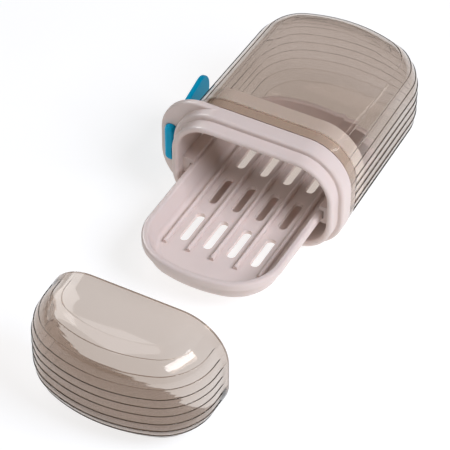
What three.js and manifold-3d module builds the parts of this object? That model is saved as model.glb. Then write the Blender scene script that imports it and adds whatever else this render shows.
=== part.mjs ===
// Soap dish: a ribbed see-through case with a beige collar, a pull-out drain tray,
// a matching cap that lifts off, and a rocker latch on the collar's ear.
// Millimetres. +X is right, -Y is the open front, Z is up from the surface it stands on.
// The origin is on the underside of the collar's flange, half way through its width.
import * as THREE from 'three';
import { mergeVertices } from 'three/addons/utils/BufferGeometryUtils.js';
import Module from 'manifold-3d';

const wasm = await Module();
wasm.setup();

// Clearances
const TOUCH_GAP = 0.35;
const CASE_SEAM = 0.45;
const CAP_SEAM = 0.35;
const RUN_GAP = 0.35;
const PIN_GAP = 0.3;
const CUT_OVERRUN = 2;

// Collar: flange, front spigot, rear sleeve
const COLLAR_W = 80;
const COLLAR_H = 51.5;
const COLLAR_R = 20.25;
const FLANGE = 7.5;
const FLANGE_FRONT_FILLET = 1.3;
const FLANGE_REAR_FILLET = 0.5;
const STEP = 2.4;
const SPIGOT = 5.8;
const SPIGOT_WALL = 2.8;
const SLEEVE = 14.75;

// Ear on the collar's left side
const EAR_REACH = 8.3;
const EAR_THICK = 3;
const EAR_FILLET = 1;
const EAR_SINK = 0.05;
const EAR_ROOT = 3;

// Shells: the rear case and the cap share one form
const CASE_DEPTH = 89;
const CAP_DEPTH = 36;
const SHELL_INSET = 0.4;
const SHELL_CORNER_MORE = 3.75;
const SHELL_FACE = 68;
const SHELL_END_WALL = 1.8;
const SHELL_TAPER = Math.tan(THREE.MathUtils.degToRad(1));
const SHELL_TOP_FALL = Math.tan(THREE.MathUtils.degToRad(0.5));
const RIB_PITCH = 4.6;
const RIB_COUNT = 10;
const RIB_DROP = 4;
const PANEL_DROP = 1.3;
const RIB_DEPTH = 0.6;
const RIB_LEDGE = 0.15;
const RIB_BAND = 4.2;
const RIB_RUN_IN = 0.5;
const LEVEL_APART = 0.45;

// Rim inside the case's mouth, which the collar's sleeve snaps behind
const RIM_BAND = 6.5;
const RIM_THICK = 1.5;
const RIM_SINK = 0.8;

// Where the cap lies in front of the collar
const CAP_AHEAD = 102.2;
const CAP_ASIDE = 2.3;

// Tray
const TRAY_SIDE_ROOM = 3.6;
const TRAY_L = 118;
const TRAY_OUT = 59.6;
const TRAY_CORNER = 22;
const TRAY_FACE = 62;
const TRAY_DROP = 3.55;
const TRAY_H = 11.2;
const TRAY_LIP_H = 3.6;
const TRAY_LIP_OVER = 2.2;
const TRAY_LIP_ROUND = 1.1;
const TRAY_RIM = 3;
const TRAY_FLOOR = 2;
const TRAY_BOTTOM_FILLET = 3.2;
const TRAY_DRAFT = 0.5;
const DRAIN_ROWS = 4;
const DRAIN_COLUMNS = 3;
const DRAIN_L = 18;
const DRAIN_W = 4;
const DRAIN_PITCH_X = 11;
const DRAIN_PITCH_Y = 25;
const REST_RIB_W = 1.8;
const REST_RIB_H = 1.8;
const REST_RIB_PAST = 5;

// Channel in the collar that the tray's lip runs in
const RAIL_THICK = 2.2;
const RAIL_OVERLAP = 1.6;
const RAIL_SET_BACK = 2.4;
const RAIL_ROOT = 0.6;

// Small rib under the top of the opening
const NIB_W = 1.8;
const NIB_LEAN = 0.3;
const NIB_H = 3;
const NIB_ASIDE = 4.2;
const NIB_ROOT = 0.8;

// Latch, its pin and the catch on the cap
const LATCH_RISE = 0.15;
const LATCH_H = 18.6;
const LATCH_HEAD_W = 5;
const LATCH_HEAD_FRONT = 2.6;
const LATCH_HEAD_BACK = 0.9;
const LATCH_HEAD_ROUND = 1.9;
const LATCH_EDGE = 0.5;
const LATCH_TAIL_L = 39;
const LATCH_TAIL_T = 2.2;
const LATCH_FLARE = THREE.MathUtils.degToRad(7);
const LATCH_SWING_GAP = 0.6;
const LATCH_SIDE_GAP = 0.5;
const PIN_R = 0.8;
const PIN_SEAT = 4;
const CATCH_T = 1.15;
const CATCH_W = 6.6;
const CATCH_ROOT = 4;
const CATCH_BARB = 0.75;
const CATCH_BARB_L = 0.9;
const CATCH_UP = 0.75;
const CATCH_SINK = 0.9;

// Roundness
const CORNER_STEPS = 10;
const FILLET_STEPS = 3;
const SHELL_FILLET_STEPS = 6;
const PLAN_CORNER_STEPS = 8;
const PLAN_FACE_STEPS = 4;
const PIN_STEPS = 16;

// Derived places
const flangeFront = -FLANGE / 2;
const flangeRear = FLANGE / 2;
const spigotFront = flangeFront - SPIGOT;
const sleeveRear = flangeRear + SLEEVE;
const bore = STEP + SPIGOT_WALL;
const midHeight = COLLAR_H / 2;
const caseMouth = flangeRear + CASE_SEAM;
const shellHalf = COLLAR_W / 2 - SHELL_INSET;
const shellTop = COLLAR_H - SHELL_INSET;
const shellCorner = COLLAR_R + SHELL_CORNER_MORE;
const mouthInset = STEP - TOUCH_GAP;
const sleeveInset = mouthInset + RUN_GAP + SLEEVE * SHELL_TAPER;
const waistInset = sleeveInset + RIM_THICK;
const waistRear = caseMouth + RIM_BAND + TOUCH_GAP;
const earFront = flangeRear - EAR_THICK;
const latchFoot = midHeight - LATCH_H / 2 + LATCH_RISE;
const latchTop = latchFoot + LATCH_H;
const latchHeadFront = earFront - LATCH_HEAD_FRONT;
const pinX = -COLLAR_W / 2 - LATCH_SIDE_GAP - LATCH_HEAD_W / 2;
const pinY = (earFront + flangeRear) / 2;
const trayHalf = COLLAR_W / 2 - bore - TRAY_SIDE_ROOM;
const trayTop = midHeight - TRAY_DROP;
const trayFront = flangeFront - TRAY_OUT;
const trayMiddle = trayFront + TRAY_L / 2;
const catchFoot = latchFoot + CATCH_UP;
const catchTop = catchFoot + CATCH_W;
const catchInner = COLLAR_W / 2 + TOUCH_GAP;

// Solids from three.js geometry, and back
function solid(geometry) {
  const bare = geometry.clone();
  bare.deleteAttribute('normal');
  bare.deleteAttribute('uv');
  const merged = mergeVertices(bare, 1e-4);
  return new wasm.Manifold(new wasm.Mesh({
    numProp: 3,
    vertProperties: Float32Array.from(merged.attributes.position.array),
    triVerts: Uint32Array.from(merged.index.array),
  }));
}

function geometryOf(body) {
  const mesh = body.getMesh();
  const geometry = new THREE.BufferGeometry();
  geometry.setAttribute('position', new THREE.BufferAttribute(mesh.vertProperties, 3));
  geometry.setIndex(new THREE.BufferAttribute(mesh.triVerts, 1));
  geometry.computeVertexNormals();
  return geometry;
}

function signedVolume(points, index) {
  const cross = new THREE.Vector3();
  let volume = 0;
  for (let i = 0; i < index.length; i += 3) {
    cross.crossVectors(points[index[i + 1]], points[index[i + 2]]);
    volume += points[index[i]].dot(cross) / 6;
  }
  return volume;
}

// A closed body through rings of equal count. Open ends get flat faces; a looped one joins last to first.
function loft(rings, { looped = false, flatten } = {}) {
  const count = rings[0].length;
  const points = rings.flat();
  const index = [];
  const spans = looped ? rings.length : rings.length - 1;
  for (let r = 0; r < spans; r += 1) {
    const a = r * count;
    const b = ((r + 1) % rings.length) * count;
    for (let i = 0; i < count; i += 1) {
      const j = (i + 1) % count;
      index.push(a + i, a + j, b + j, a + i, b + j, b + i);
    }
  }
  if (!looped) {
    const top = (rings.length - 1) * count;
    for (const [a, b, c] of THREE.ShapeUtils.triangulateShape(rings[0].map(flatten), [])) {
      index.push(c, b, a);
    }
    for (const [a, b, c] of THREE.ShapeUtils.triangulateShape(rings.at(-1).map(flatten), [])) {
      index.push(top + a, top + b, top + c);
    }
  }
  if (signedVolume(points, index) < 0) {
    index.reverse();
  }
  const geometry = new THREE.BufferGeometry().setFromPoints(points);
  geometry.setIndex(index);
  return solid(geometry);
}

const onFloor = (p) => new THREE.Vector2(p.x, p.y);
const onFront = (p) => new THREE.Vector2(p.x, p.z);

function box(x0, x1, y0, y1, z0, z1) {
  const geometry = new THREE.BoxGeometry(x1 - x0, y1 - y0, z1 - z0);
  return solid(geometry.translate((x0 + x1) / 2, (y0 + y1) / 2, (z0 + z1) / 2));
}

function post(radius, x, y, z0, z1) {
  const geometry = new THREE.CylinderGeometry(radius, radius, z1 - z0, PIN_STEPS);
  return solid(geometry.rotateX(Math.PI / 2).translate(x, y, (z0 + z1) / 2));
}

function arc(cx, cy, radius, from, to, steps) {
  const curve = new THREE.EllipseCurve(cx, cy, radius, radius, from, to, to < from);
  return curve.getPoints(steps);
}

// The collar's section at depth y, drawn in by inset, and widened on the left by reach
function sectionRing(inset, y, reach = 0) {
  const radius = COLLAR_R - inset;
  const right = COLLAR_W / 2 - COLLAR_R;
  const left = -right - reach;
  const up = COLLAR_H - COLLAR_R;
  const quarter = Math.PI / 2;
  const corners = [[right, up], [left, up], [left, COLLAR_R], [right, COLLAR_R]];
  return corners.flatMap(([x, z], k) => arc(x, z, radius, k * quarter, (k + 1) * quarter, CORNER_STEPS))
    .map((p) => new THREE.Vector3(p.x, y, p.y));
}

// Half plan of a D-shaped end: from the side line round the corner to the middle of the face
function endArcs(half, depth, corner, face, inset) {
  const cornerX = half - corner;
  const faceY = depth - face;
  const cornerY = faceY + Math.sqrt((face - corner) ** 2 - cornerX ** 2);
  const turn = Math.atan2(cornerY - faceY, cornerX);
  const side = arc(cornerX, cornerY, corner - inset, 0, turn, PLAN_CORNER_STEPS);
  const front = arc(0, faceY, face - inset, turn, Math.PI / 2, PLAN_FACE_STEPS);
  return side.concat(front.slice(1));
}

const mirrored = (points) => points.slice().reverse().map((p) => new THREE.Vector2(-p.x, p.y));

// How far a rounded edge of this radius draws in at height z between bottom and top
function roundedInset(z, bottom, top, radius) {
  const edge = Math.max(0, radius - Math.min(z - bottom, top - z));
  return radius - Math.sqrt(Math.max(0, radius ** 2 - edge ** 2));
}

// Levels of a rounded flank, and the sawtooth of ribs on it: flush at each band's top, deepest at its foot
function flankLevels(bottom, top, radius, ledges) {
  const quarter = Math.PI / 2;
  const heights = [];
  for (let k = 0; k <= SHELL_FILLET_STEPS; k += 1) {
    const rise = radius * (1 - Math.cos((k / SHELL_FILLET_STEPS) * quarter));
    heights.push(bottom + rise, top - rise);
  }
  const clear = (z) => ledges.every((ledge) => Math.abs(ledge - z) > LEVEL_APART);
  const rows = heights.filter(clear).map((z) => ({ z, rib: 0 }));
  for (const ledge of ledges) {
    rows.push({ z: ledge, rib: 0 }, { z: ledge + RIB_LEDGE, rib: RIB_DEPTH });
  }
  rows.sort((a, b) => a.z - b.z);
  const above = (z) => Math.min(...ledges.filter((ledge) => ledge > z), top);
  const below = (z) => Math.max(...ledges.filter((ledge) => ledge < z), bottom);
  return rows.map(({ z, rib }) => {
    const inBand = z > ledges[0] && !ledges.includes(z) && rib === 0;
    const fall = inBand ? RIB_DEPTH * (above(z) - z) / (above(z) - below(z)) : rib;
    return { z, rib: fall, inset: roundedInset(z, bottom, top, radius) };
  });
}

// One level of a shell in its own frame: mouth at y = 0, closed end at y = depth
function shellRing(half, depth, corner, face, level, mouth) {
  const ends = endArcs(half, depth, corner, face, level.inset + level.rib);
  const rim = half - level.inset;
  const ribbed = rim - level.rib;
  const side = [new THREE.Vector2(rim, mouth)];
  side.push(new THREE.Vector2(rim, RIB_BAND));
  side.push(new THREE.Vector2(ribbed, RIB_BAND + RIB_RUN_IN));
  const right = side.concat(ends);
  const plan = right.concat(mirrored(right).slice(1));
  return plan.map((p) => {
    const narrow = 1 - (SHELL_TAPER * p.y) / half;
    const lower = 1 - (SHELL_TOP_FALL * p.y) / shellTop;
    return new THREE.Vector3(p.x * narrow, p.y, level.z * lower);
  });
}

// A half shell: ribbed outside, smooth inside, open at the mouth
function shell(depth) {
  const highest = shellTop - RIB_DROP;
  const ledges = Array.from({ length: RIB_COUNT }, (_, k) => highest - RIB_PITCH * (RIB_COUNT - 1 - k));
  ledges.push(shellTop - PANEL_DROP);
  const outerRadius = COLLAR_R - SHELL_INSET;
  const outer = flankLevels(0, shellTop, outerRadius, ledges)
    .map((level) => shellRing(shellHalf, depth, shellCorner, SHELL_FACE, level, 0));
  const innerHalf = COLLAR_W / 2 - mouthInset;
  const innerRadius = COLLAR_R - mouthInset;
  const inner = flankLevels(mouthInset, COLLAR_H - mouthInset, innerRadius, [])
    .map((level) => shellRing(innerHalf, depth - SHELL_END_WALL, shellCorner - SHELL_END_WALL,
      SHELL_FACE - SHELL_END_WALL, level, -CUT_OVERRUN));
  return loft(outer, { flatten: onFloor }).subtract(loft(inner, { flatten: onFloor }));
}

// The rear case: a shell with a thicker rim inside its mouth
function rearCase() {
  const outer = mouthInset - RIM_SINK;
  const inner = mouthInset + RIM_THICK;
  const profile = [[outer, 0], [inner, 0], [inner, RIM_BAND], [outer, RIM_BAND]];
  const rim = loft(profile.map(([inset, y]) => sectionRing(inset, y)), { looped: true });
  return shell(CASE_DEPTH).add(rim);
}

// The collar's ring: flange, rounded spigot, bore and waisted sleeve in one profile of inset and depth
function collarRing() {
  const quarter = Math.PI / 2;
  const lip = SPIGOT_WALL / 2;
  const frontEdge = arc(FLANGE_FRONT_FILLET, flangeFront + FLANGE_FRONT_FILLET, FLANGE_FRONT_FILLET,
    2 * quarter, 3 * quarter, FILLET_STEPS);
  const rim = arc(STEP + lip, spigotFront + lip, lip, 2 * quarter, 4 * quarter, 2 * FILLET_STEPS);
  const rearEdge = arc(FLANGE_REAR_FILLET, flangeRear - FLANGE_REAR_FILLET, FLANGE_REAR_FILLET,
    quarter, 2 * quarter, 2);
  const sleeve = [[bore, sleeveRear], [sleeveInset, sleeveRear], [sleeveInset, waistRear],
    [waistInset, waistRear], [waistInset, flangeRear]];
  const profile = [...frontEdge, new THREE.Vector2(STEP, flangeFront), ...rim,
    ...sleeve.map(([x, y]) => new THREE.Vector2(x, y)), ...rearEdge];
  return loft(profile.map((p) => sectionRing(p.x, p.y)), { looped: true });
}

// The ear: the rear part of the flange drawn out to the left, with the latch's window and pin seats
function ear() {
  const quarter = Math.PI / 2;
  const edge = arc(EAR_FILLET, earFront + EAR_FILLET, EAR_FILLET - EAR_SINK,
    3 * quarter, 2 * quarter, FILLET_STEPS);
  const rings = edge.map((p) => sectionRing(p.x, p.y, EAR_REACH));
  rings.push(sectionRing(EAR_SINK, flangeRear - EAR_SINK, EAR_REACH));
  const plate = loft(rings, { flatten: onFront });
  const holeEnds = [earFront - CUT_OVERRUN, flangeRear + CUT_OVERRUN];
  const hole = loft(holeEnds.map((y) => sectionRing(EAR_ROOT, y)), { flatten: onFront });
  const leftOnly = box(-COLLAR_W, pinX / 2, earFront - CUT_OVERRUN, flangeRear + CUT_OVERRUN, -CUT_OVERRUN,
    COLLAR_H + CUT_OVERRUN);
  const outer = pinX - LATCH_HEAD_W / 2 - LATCH_SWING_GAP;
  const window = box(outer, -COLLAR_W / 2, earFront - CUT_OVERRUN, flangeRear + CUT_OVERRUN,
    latchFoot - RUN_GAP, latchTop + RUN_GAP);
  const seatDepth = PIN_SEAT + PIN_GAP;
  const seats = post(PIN_R + PIN_GAP, pinX, pinY, latchFoot - seatDepth, latchTop + seatDepth);
  return plate.intersect(leftOnly).subtract(hole).subtract(window).subtract(seats);
}

// Channels on both sides of the opening, which the tray's lip slides in
function trayChannels() {
  const wall = COLLAR_W / 2 - bore + RAIL_ROOT;
  const reach = trayHalf - RAIL_OVERLAP;
  const front = spigotFront + RAIL_SET_BACK;
  const grooveTop = trayTop + RUN_GAP;
  const grooveFoot = trayTop - TRAY_LIP_H - RUN_GAP;
  const rail = box(reach, wall, front, sleeveRear, grooveFoot - RAIL_THICK, grooveTop + RAIL_THICK);
  const groove = box(reach - CUT_OVERRUN, trayHalf + RUN_GAP, front - CUT_OVERRUN, sleeveRear + CUT_OVERRUN,
    grooveFoot, grooveTop);
  const right = rail.subtract(groove);
  return right.add(right.mirror([1, 0, 0]));
}

// A pointed rib that hangs from the top of the opening, left of the middle
function nib() {
  const x = -(COLLAR_W / 2 - COLLAR_R + NIB_ASIDE);
  const radius = COLLAR_R - bore;
  const root = COLLAR_H - COLLAR_R + Math.sqrt(radius ** 2 - NIB_ASIDE ** 2) + NIB_ROOT;
  const shape = new THREE.Shape();
  shape.moveTo(x - NIB_W / 2, root);
  shape.lineTo(x - NIB_LEAN, root - NIB_ROOT - NIB_H);
  shape.lineTo(x + NIB_W / 2, root);
  shape.closePath();
  const depth = sleeveRear - spigotFront - 2 * SPIGOT_WALL;
  const geometry = new THREE.ExtrudeGeometry(shape, { depth, bevelEnabled: false });
  return solid(geometry.rotateX(Math.PI / 2).translate(0, sleeveRear - SPIGOT_WALL, 0));
}

function collar() {
  return collarRing().add(ear()).add(trayChannels()).add(nib());
}

// The tray's plan at one height: D-shaped at both ends
function trayRing(inset, z) {
  const end = endArcs(trayHalf, TRAY_L / 2, TRAY_CORNER, TRAY_FACE, inset);
  const rear = end.concat(mirrored(end).slice(1));
  const front = rear.map((p) => new THREE.Vector2(-p.x, -p.y));
  return rear.concat(front).map((p) => new THREE.Vector3(p.x, p.y + trayMiddle, z));
}

function tray() {
  const quarter = Math.PI / 2;
  const foot = trayTop - TRAY_H;
  const floor = foot + TRAY_FLOOR;
  const lipFoot = trayTop - TRAY_LIP_H;
  const skirt = TRAY_LIP_OVER + TRAY_DRAFT;
  const curve = TRAY_BOTTOM_FILLET;
  const hull = arc(skirt + curve, foot + curve, curve, 3 * quarter, 2 * quarter, FILLET_STEPS);
  const lip = arc(TRAY_LIP_ROUND, trayTop - TRAY_LIP_ROUND, TRAY_LIP_ROUND,
    2 * quarter, quarter, FILLET_STEPS);
  const outline = [...hull, new THREE.Vector2(TRAY_LIP_OVER, lipFoot), new THREE.Vector2(0, lipFoot), ...lip];
  const inside = TRAY_RIM + TRAY_LIP_OVER;
  const hollow = arc(inside + curve, floor + curve, curve, 3 * quarter, 2 * quarter, FILLET_STEPS);
  hollow.push(new THREE.Vector2(TRAY_RIM, trayTop - TRAY_LIP_ROUND));
  hollow.push(new THREE.Vector2(TRAY_RIM - TRAY_LIP_ROUND / 2, trayTop - TRAY_LIP_ROUND / 4));
  hollow.push(new THREE.Vector2(TRAY_RIM - TRAY_LIP_ROUND / 2, trayTop + CUT_OVERRUN));
  const bodyOf = (profile) => loft(profile.map((p) => trayRing(p.x, p.y)), { flatten: onFloor });
  let body = bodyOf(outline).subtract(bodyOf(hollow));
  const across = (k, count, pitch) => (k - (count - 1) / 2) * pitch;
  for (let row = 0; row < DRAIN_ROWS; row += 1) {
    for (let column = 0; column < DRAIN_COLUMNS; column += 1) {
      const x = across(row, DRAIN_ROWS, DRAIN_PITCH_X);
      const y = trayMiddle + across(column, DRAIN_COLUMNS, DRAIN_PITCH_Y);
      body = body.subtract(drainSlot(x, y, foot, floor));
    }
  }
  const ribLength = (DRAIN_COLUMNS - 1) * DRAIN_PITCH_Y + DRAIN_L + 2 * REST_RIB_PAST;
  for (let k = 0; k <= DRAIN_ROWS; k += 1) {
    const x = across(k, DRAIN_ROWS + 1, DRAIN_PITCH_X);
    body = body.add(box(x - REST_RIB_W / 2, x + REST_RIB_W / 2, trayMiddle - ribLength / 2,
      trayMiddle + ribLength / 2, floor - TRAY_FLOOR / 2, floor + REST_RIB_H));
  }
  return body;
}

// A round-ended slot through the tray's floor
function drainSlot(x, y, foot, floor) {
  const radius = DRAIN_W / 2;
  const straight = DRAIN_L / 2 - radius;
  const shape = new THREE.Shape();
  shape.absarc(x, y + straight, radius, 0, Math.PI, false);
  shape.absarc(x, y - straight, radius, Math.PI, 2 * Math.PI, false);
  const depth = floor - foot + 2 * CUT_OVERRUN;
  const options = { depth, bevelEnabled: false, curveSegments: FILLET_STEPS };
  const geometry = new THREE.ExtrudeGeometry(shape, options);
  return solid(geometry.translate(0, 0, foot - CUT_OVERRUN));
}

// The cap, with the catch on its left side; its own frame is turned half round, so left is +X there
function cap() {
  const outer = catchInner + CATCH_T;
  const reach = CAP_SEAM + earFront - flangeFront - TOUCH_GAP;
  const root = box(shellHalf - CATCH_SINK, outer, 0, CATCH_ROOT, catchFoot, catchTop);
  const tongue = box(catchInner, outer, -reach, CATCH_ROOT / 2, catchFoot, catchTop);
  const barb = box(catchInner, outer + CATCH_BARB, -reach, -reach + CATCH_BARB_L, catchFoot, catchTop);
  return shell(CAP_DEPTH).add(root).add(tongue).add(barb);
}

// The rocker: a round-fronted head in the ear's window and a flared tail behind it
function latch() {
  const half = LATCH_HEAD_W / 2;
  const front = latchHeadFront;
  const back = flangeRear + LATCH_HEAD_BACK;
  const round = LATCH_HEAD_ROUND;
  const shape = new THREE.Shape();
  shape.moveTo(pinX + half, back);
  shape.lineTo(pinX - half, back);
  shape.lineTo(pinX - half, front + round);
  shape.absarc(pinX - half + round, front + round, round, Math.PI, 1.5 * Math.PI, false);
  shape.absarc(pinX + half - round, front + round, round, 1.5 * Math.PI, 2 * Math.PI, false);
  shape.closePath();
  const bevel = { bevelEnabled: true, bevelSize: LATCH_EDGE, bevelOffset: -LATCH_EDGE,
    bevelThickness: LATCH_EDGE, bevelSegments: 2 };
  const head = new THREE.ExtrudeGeometry(shape, {
    depth: LATCH_H - 2 * LATCH_EDGE, curveSegments: FILLET_STEPS, ...bevel,
  });
  head.translate(0, 0, latchFoot + LATCH_EDGE);
  const rear = LATCH_H / 2;
  const side = new THREE.Shape();
  side.moveTo(0, -rear);
  side.lineTo(LATCH_TAIL_L - rear, -rear);
  side.absarc(LATCH_TAIL_L - rear, 0, rear, -Math.PI / 2, Math.PI / 2, false);
  side.lineTo(0, rear);
  side.closePath();
  const tail = new THREE.ExtrudeGeometry(side, {
    depth: LATCH_TAIL_T - 2 * LATCH_EDGE, curveSegments: CORNER_STEPS, ...bevel,
  });
  tail.translate(0, 0, LATCH_EDGE - LATCH_TAIL_T / 2);
  tail.applyMatrix4(new THREE.Matrix4().makeBasis(new THREE.Vector3(0, 1, 0), new THREE.Vector3(0, 0, 1),
    new THREE.Vector3(1, 0, 0)));
  tail.rotateZ(LATCH_FLARE);
  tail.translate(pinX, pinY, latchFoot + rear);
  const hole = post(PIN_R + PIN_GAP, pinX, pinY, latchFoot - CUT_OVERRUN, latchTop + CUT_OVERRUN);
  const foot = catchFoot - TOUCH_GAP;
  const top = catchTop + TOUCH_GAP;
  const barbEnd = earFront - TOUCH_GAP;
  const slot = box(-catchInner - CATCH_T - TOUCH_GAP, pinX + LATCH_HEAD_W, front - CUT_OVERRUN,
    barbEnd + TOUCH_GAP, foot, top);
  const pocket = box(-catchInner - CATCH_T - CATCH_BARB - TOUCH_GAP, pinX + LATCH_HEAD_W,
    barbEnd - CATCH_BARB_L - TOUCH_GAP, barbEnd + TOUCH_GAP, foot, top);
  return solid(head).add(solid(tail)).subtract(hole).subtract(slot).subtract(pocket);
}

function latchPin() {
  return post(PIN_R, pinX, pinY, latchFoot - PIN_SEAT, latchTop + PIN_SEAT);
}

// Materials
const smoke = new THREE.MeshStandardMaterial({
  color: 0x9c8d82, roughness: 0.15, metalness: 0, transparent: true, opacity: 0.5,
});
const beige = new THREE.MeshStandardMaterial({ color: 0xd3c6c4, roughness: 0.55, metalness: 0 });
const blue = new THREE.MeshStandardMaterial({ color: 0x0b87a6, roughness: 0.4, metalness: 0 });
const steel = new THREE.MeshStandardMaterial({ color: 0xb4b6b8, roughness: 0.3, metalness: 1 });

const dish = new THREE.Group();

function place(name, body, material) {
  const mesh = new THREE.Mesh(geometryOf(body), material);
  mesh.name = name;
  dish.add(mesh);
  return mesh;
}

place('rear_case', rearCase(), smoke).position.set(0, caseMouth, 0);
place('collar', collar(), beige);
place('tray', tray(), beige);
place('latch', latch(), blue);
place('latch_pin', latchPin(), steel);
const frontCap = place('front_cap', cap(), smoke);
frontCap.rotation.z = Math.PI;
frontCap.position.set(CAP_ASIDE, flangeFront - CAP_AHEAD, 0);

export default dish;
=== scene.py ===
# %% [markdown]
# # A travel soap dish, in clear and opaque plastic
# The dish is a ribbed see-through case on a beige collar, with a drain tray that pulls out, a loose cap
# and a blue rocker latch. The solids of its construction are loaded first and never moved: everything
# made here is laid over them in the same frame, in metres, so it can be posed by the same joints.

# %% Load the frame
import math

import bmesh
import bpy
from mathutils import Matrix, Vector


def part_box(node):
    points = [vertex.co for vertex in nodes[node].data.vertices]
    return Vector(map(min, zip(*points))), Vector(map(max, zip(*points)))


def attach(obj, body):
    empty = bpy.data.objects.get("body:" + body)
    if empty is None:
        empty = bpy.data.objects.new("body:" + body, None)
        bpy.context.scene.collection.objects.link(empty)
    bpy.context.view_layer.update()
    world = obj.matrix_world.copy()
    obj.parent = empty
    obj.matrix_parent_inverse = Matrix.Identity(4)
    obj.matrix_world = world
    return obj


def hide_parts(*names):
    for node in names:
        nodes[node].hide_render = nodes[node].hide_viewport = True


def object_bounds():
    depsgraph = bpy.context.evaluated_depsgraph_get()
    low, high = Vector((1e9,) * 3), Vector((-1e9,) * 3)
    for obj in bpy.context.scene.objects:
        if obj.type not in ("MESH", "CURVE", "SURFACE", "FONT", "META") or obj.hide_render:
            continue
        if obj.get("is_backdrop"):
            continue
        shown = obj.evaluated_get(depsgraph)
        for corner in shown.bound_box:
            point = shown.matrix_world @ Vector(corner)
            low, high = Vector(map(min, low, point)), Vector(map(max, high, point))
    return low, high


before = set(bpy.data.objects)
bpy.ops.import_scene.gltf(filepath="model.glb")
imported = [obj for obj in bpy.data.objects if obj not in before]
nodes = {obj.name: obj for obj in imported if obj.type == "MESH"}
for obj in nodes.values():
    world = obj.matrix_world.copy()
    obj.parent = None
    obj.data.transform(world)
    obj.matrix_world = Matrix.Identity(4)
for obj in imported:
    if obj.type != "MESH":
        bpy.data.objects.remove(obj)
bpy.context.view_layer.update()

# %% [markdown]
# ## Millimetres, and where the solids are
# A moulder's drawing is in millimetres, so the sizes below are too, and one factor turns them into
# Blender's metres when a mesh is made. A place could be typed in as a number, but a change to the solids
# would then leave the surface behind, so each place is read from the loaded solids.

# %% Places from the frame
MM = 0.001


def box_mm(node):
    """The lowest and highest corner of a loaded solid, in millimetres."""
    return [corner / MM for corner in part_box(node)]


collar_low, collar_high = box_mm("collar")
case_low, case_high = box_mm("rear_case")
cap_low, cap_high = box_mm("front_cap")
tray_low, tray_high = box_mm("tray")
latch_low, latch_high = box_mm("latch")
pin_low, pin_high = box_mm("latch_pin")

WIDTH = 2 * collar_high.x
HEIGHT = collar_high.z
print(f"collar {WIDTH:.1f} x {HEIGHT:.1f} mm, case {case_high.y - case_low.y:.1f} mm deep")

# %% [markdown]
# ## Camera
# The dish is seen through a long lens from the front right, well above it. A short lens close by would fan
# out the sides of the case, while a long one from far away keeps them nearly parallel. The aim is the point
# that lands in the middle of a square picture, so the camera needs no shift.

# %% Camera
AZIMUTH, ELEVATION = math.radians(28.35), math.radians(43.68)
AIM = Vector((-7.75, -17.17, 7.59))
CAMERA_AWAY = 1005
LENS, SENSOR = 192, 36

toward_camera = Vector((
    math.sin(AZIMUTH) * math.cos(ELEVATION),
    -math.cos(AZIMUTH) * math.cos(ELEVATION),
    math.sin(ELEVATION),
))
camera = bpy.data.objects.new("camera", bpy.data.cameras.new("camera"))
camera.data.lens = LENS
camera.data.sensor_width = SENSOR
camera.location = (AIM + CAMERA_AWAY * toward_camera) * MM
camera.rotation_euler = toward_camera.to_track_quat("Z", "Y").to_euler()
bpy.context.collection.objects.link(camera)
bpy.context.scene.camera = camera
print("camera at", [round(c, 3) for c in camera.location])

# %% [markdown]
# ## Colour
# A colour picker gives sRGB hex codes, which are spaced as the eye sees them. Shaders add up light, so they
# need linear numbers. Blender converts a colour that is picked by hand, but not one written in a script, so
# one function does it here.


# %% Colour
def linear(code):
    """An sRGB hex code as a linear colour with full alpha."""
    parts = [int(code[i:i + 2], 16) / 255 for i in (1, 3, 5)]
    return [p / 12.92 if p <= 0.04045 else ((p + 0.055) / 1.055) ** 2.4 for p in parts] + [1]


print("middle grey #808080 is", round(linear("#808080")[0], 3), "in linear light")

# %% [markdown]
# ## Nodes
# A material is a small network of nodes. It could be wired by hand in the shader editor, but a script has
# to add each node, set its values and link its sockets, and one function does all three. Patterns are laid
# out in the piece's own coordinates, in metres, so a mark of a real size needs a scale of one over it.

# %% Nodes
# A Mix node carries the sockets of every type that it can mix; these are its two colours and their result.
MIX_A, MIX_B, MIX_RESULT = 6, 7, 2


def add(owner, kind, inputs=(), **settings):
    """Adds a node; its inputs are pairs of a socket's name and a value or a socket to link."""
    node = owner.node_tree.nodes.new(kind)
    for name, value in settings.items():
        setattr(node, name, value)
    for name, value in dict(inputs).items():
        if isinstance(value, bpy.types.NodeSocket):
            owner.node_tree.links.new(value, node.inputs[name])
        else:
            node.inputs[name].default_value = value
    return node


def new_material(name):
    """An empty material and the piece's own coordinates, in metres."""
    material = bpy.data.materials.new(name)
    material.use_nodes = True
    material.node_tree.nodes.clear()
    place = add(material, "ShaderNodeTexCoord").outputs["Object"]
    return material, place


def per_mm(size):
    """The texture scale that gives marks of about this size in millimetres."""
    return 1 / (size * MM)


print("marks of 3 mm need a texture scale of", round(per_mm(3)))

# %% [markdown]
# ## Smoke-tinted acrylic, moulded and polished
# The case and the cap are clear acrylic with a little brown-grey dye, shot into a polished mould. The eye
# gets a hard gloss, reflections that waver slightly with the flow of the melt, and a tint that deepens
# where the wall is thick or seen edge on. A tint on the faces alone would make thick and thin look alike,
# so part of it is absorption inside the wall, and ribs and rims darken by themselves. An etched insert in
# the mould leaves a matt patch, which the material can be given on one side.
# Lamp light that is bent on its way through a wall takes far too many samples to find. So to a lamp the
# faces are clear, and only the dye in the wall dims it.

# %% Smoke acrylic
ACRYLIC_IOR = 1.49
SMOKE_TINT = "#A68355"
SMOKE_SKIN = "#EDE8E5"
CASE_DYE = 165
CASE_POLISH = 0.02
POLISH_DRIFT = 0.01
HAZE_MM = 3
FLOW_MM = 14
FLOW_HEIGHT_MM = 0.5
FLOW_STRENGTH = 0.01
ETCH_ROUGH = 0.7
ETCH_FADE_MM = 0.2


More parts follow.
